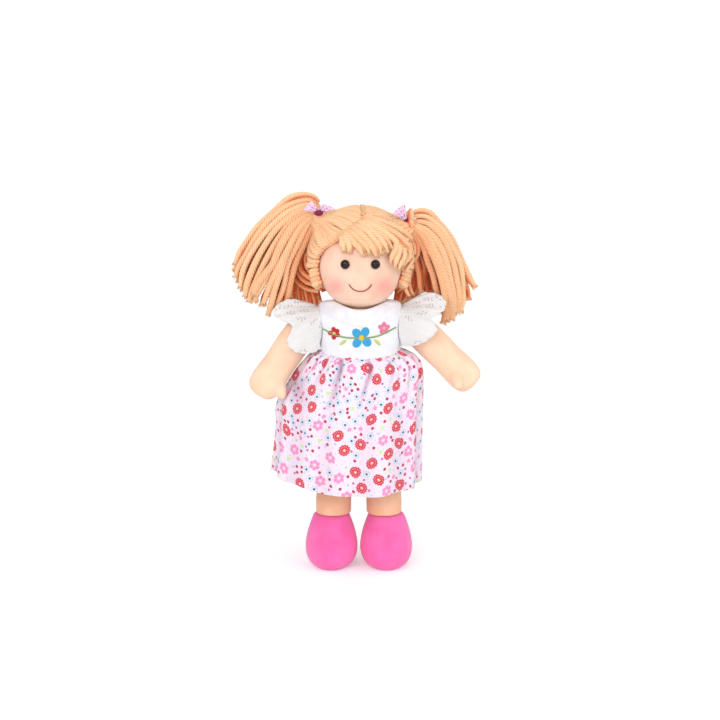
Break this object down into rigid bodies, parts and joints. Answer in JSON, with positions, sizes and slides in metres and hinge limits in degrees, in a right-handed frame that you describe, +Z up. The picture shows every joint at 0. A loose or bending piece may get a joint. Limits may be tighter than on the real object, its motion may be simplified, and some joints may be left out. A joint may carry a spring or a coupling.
{
  "type": "rag doll",
  "caption": "Soft rag doll standing on pink stuffed shoes, with yarn hair in bunches, safety eyes, turning neck, swinging arms and legs, and a gathered dress.",
  "frame": {"origin": "on the floor under the middle of the doll's outline", "axes": "+Z up, -Y the way the doll faces, +X towards the doll's own left"},
  "size_m": [0.1857, 0.084, 0.2785],
  "materials": {
    "skin_cotton": "fine stretchy cotton knit over stuffing",
    "hair_yarn": "thick plied yarn",
    "eye_plastic": "polished black-brown",
    "washer_plastic": "moulded, plain",
    "shoe_cotton": "smooth pink cotton over stuffing",
    "white_cotton": "plain woven cotton",
    "eyelet_cotton": "woven cotton with worked eyelets",
    "printed_cotton": "woven cotton printed with small flowers",
    "bow_cotton": "woven cotton strip",
    "tie_elastic": "covered elastic",
    "closure_tape": "hook and loop tape"
  },
  "bodies": {
    "torso": {"torso": "skin_cotton", "bodice": "white_cotton", "neck_binding": "white_cotton", "skirt": "printed_cotton", "sleeve_frill_left": "eyelet_cotton", "sleeve_frill_right": "eyelet_cotton", "closure_loop_strip": "closure_tape", "closure_hook_strip": "closure_tape"},
    "head": {"head": "skin_cotton", "eye_left": "eye_plastic", "eye_right": "eye_plastic", "eye_washer_left": "washer_plastic", "eye_washer_right": "washer_plastic", "hair_cap": "hair_yarn", "fringe": "hair_yarn", "hair_bunch_left": "hair_yarn", "hair_bunch_right": "hair_yarn", "hair_tie_left": "tie_elastic", "hair_tie_right": "tie_elastic", "bow_left": "bow_cotton", "bow_right": "bow_cotton"},
    "arm_left": {"arm_left": "skin_cotton"},
    "arm_right": {"arm_right": "skin_cotton"},
    "leg_left": {"leg_left": "skin_cotton", "shoe_left": "shoe_cotton"},
    "leg_right": {"leg_right": "skin_cotton", "shoe_right": "shoe_cotton"}
  },
  "joints": [
    {"name": "neck_turn", "type": "hinge", "parent": "torso", "child": "head", "pos_m": [0.0036, 0, 0.1968], "axis": [0, 0, 1], "range_deg": [-40, 40], "deforming": ["hair_bunch_left", "hair_bunch_right"]},
    {"name": "shoulder_left", "type": "hinge", "parent": "torso", "child": "arm_left", "pos_m": [0.0336, 0, 0.1808], "axis": [-1, 0, 0], "range_deg": [-45, 90], "deforming": ["sleeve_frill_left"]},
    {"name": "shoulder_right", "type": "hinge", "parent": "torso", "child": "arm_right", "pos_m": [-0.0264, 0, 0.1808], "axis": [-1, 0, 0], "range_deg": [-45, 90], "deforming": ["sleeve_frill_right"]},
    {"name": "hip_left", "type": "hinge", "parent": "torso", "child": "leg_left", "pos_m": [0.0185, 0, 0.084], "axis": [-1, 0, 0], "range_deg": [-30, 90], "deforming": ["skirt"]},
    {"name": "hip_right", "type": "hinge", "parent": "torso", "child": "leg_right", "pos_m": [-0.0135, 0, 0.084], "axis": [-1, 0, 0], "range_deg": [-30, 90], "deforming": ["skirt"]}
  ]
}
